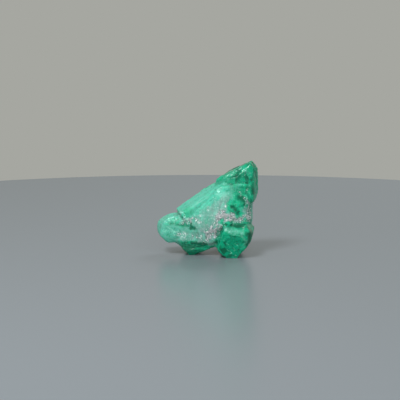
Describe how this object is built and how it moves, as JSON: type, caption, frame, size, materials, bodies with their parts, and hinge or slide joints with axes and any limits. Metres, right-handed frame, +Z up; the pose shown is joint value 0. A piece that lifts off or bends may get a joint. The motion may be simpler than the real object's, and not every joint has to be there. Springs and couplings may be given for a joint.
{
  "type": "raw emerald crystal",
  "caption": "Rough emerald specimen: six-sided green beryl crystals grown together with pale vein rock, with a slanting prism, a pointed top and blunt ends low down.",
  "frame": {"origin": "on the surface the specimen rests on, below the middle of its outline seen from above", "axes": "+X towards the pointed side, along the specimen's length; +Y from its front to its back; +Z up"},
  "size_m": [0.0186, 0.0116, 0.0172],
  "materials": {
    "emerald": "natural beryl: deep glassy green at the ends, milky mint along the long prism, with grey-green granular vein rock grown through it"
  },
  "bodies": {
    "root": {"emerald_crystal": "emerald"}
  },
  "joints": []
}
